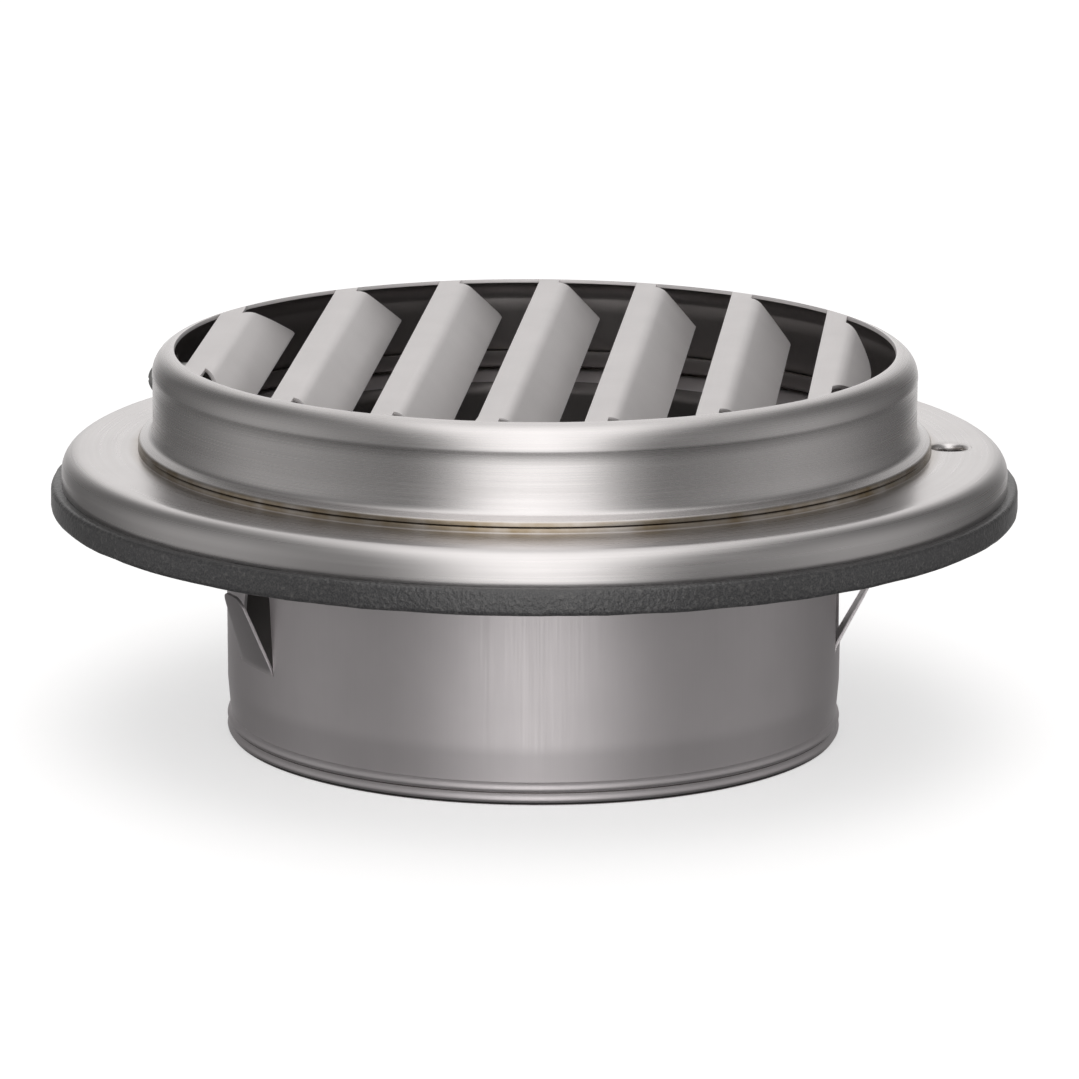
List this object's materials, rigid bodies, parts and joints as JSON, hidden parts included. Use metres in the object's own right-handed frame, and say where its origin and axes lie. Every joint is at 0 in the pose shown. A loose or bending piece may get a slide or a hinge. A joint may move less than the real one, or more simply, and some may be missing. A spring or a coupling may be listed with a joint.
{
  "type": "louvred vent cap",
  "caption": "Round stainless louvred vent cap with a flange, a foam gasket and a short spigot held in the duct by spring tongues.",
  "frame": {"origin": "middle of the spigot's free end, at the lowest face of the part, which stands face up", "axes": "+Z along the duct's axis, from the spigot to the louvred face; the louvre blades run along Y and slope down towards +X"},
  "size_m": [0.1556, 0.1556, 0.0629],
  "materials": {
    "hood_steel": "satin",
    "flange_steel": "satin",
    "spigot_steel": "drawn",
    "plated_steel": "plated",
    "foam_rubber": "matt foam"
  },
  "bodies": {
    "cap": {"hood_shell": "hood_steel", "louvre_1": "hood_steel", "louvre_2": "hood_steel", "louvre_3": "hood_steel", "louvre_4": "hood_steel", "louvre_5": "hood_steel", "louvre_6": "hood_steel", "louvre_7": "hood_steel", "base_flange": "flange_steel", "gasket": "foam_rubber", "spigot": "spigot_steel", "fixing_bracket": "plated_steel", "clinch_nut": "plated_steel", "hood_screw": "plated_steel"},
    "tongue_1": {"spring_tongue_1": "spigot_steel"},
    "tongue_2": {"spring_tongue_2": "spigot_steel"},
    "tongue_3": {"spring_tongue_3": "spigot_steel"}
  },
  "joints": [
    {"name": "tongue_1_flex", "type": "hinge", "parent": "cap", "child": "tongue_1", "pos_m": [0.04934, 0, 0.015], "axis": [0, -1, 0], "range_deg": [0, 26.5], "stiffness_Nm_per_rad": 0.4},
    {"name": "tongue_2_flex", "type": "hinge", "parent": "cap", "child": "tongue_2", "pos_m": [-0.04184, 0.02615, 0.015], "axis": [0.5299, 0.848, 0], "range_deg": [0, 19], "stiffness_Nm_per_rad": 0.4},
    {"name": "tongue_3_flex", "type": "hinge", "parent": "cap", "child": "tongue_3", "pos_m": [-0.04184, -0.02615, 0.015], "axis": [-0.5299, 0.848, 0], "range_deg": [0, 19], "stiffness_Nm_per_rad": 0.4}
  ]
}
